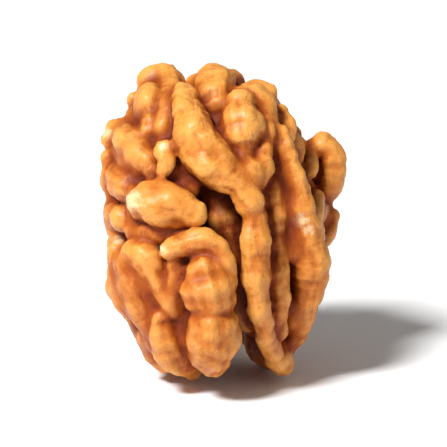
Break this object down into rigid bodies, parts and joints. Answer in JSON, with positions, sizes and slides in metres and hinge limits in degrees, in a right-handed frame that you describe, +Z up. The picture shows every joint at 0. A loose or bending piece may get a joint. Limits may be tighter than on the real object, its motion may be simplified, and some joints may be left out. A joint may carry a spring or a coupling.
{
  "type": "walnut kernel",
  "caption": "Whole shelled walnut kernel: two lobed halves of rounded folds with a deep valley between them, standing upright on its lowest folds.",
  "frame": {"origin": "on the ground, under the middle of the kernel's box", "axes": "+Z up along the kernel's length, -Y towards the front with the bulging lower knob, +X to the right seen from the front"},
  "size_m": [0.0258, 0.0274, 0.0324],
  "materials": {
    "kernel_skin": "satin"
  },
  "bodies": {
    "root": {"kernel": "kernel_skin"}
  },
  "joints": []
}
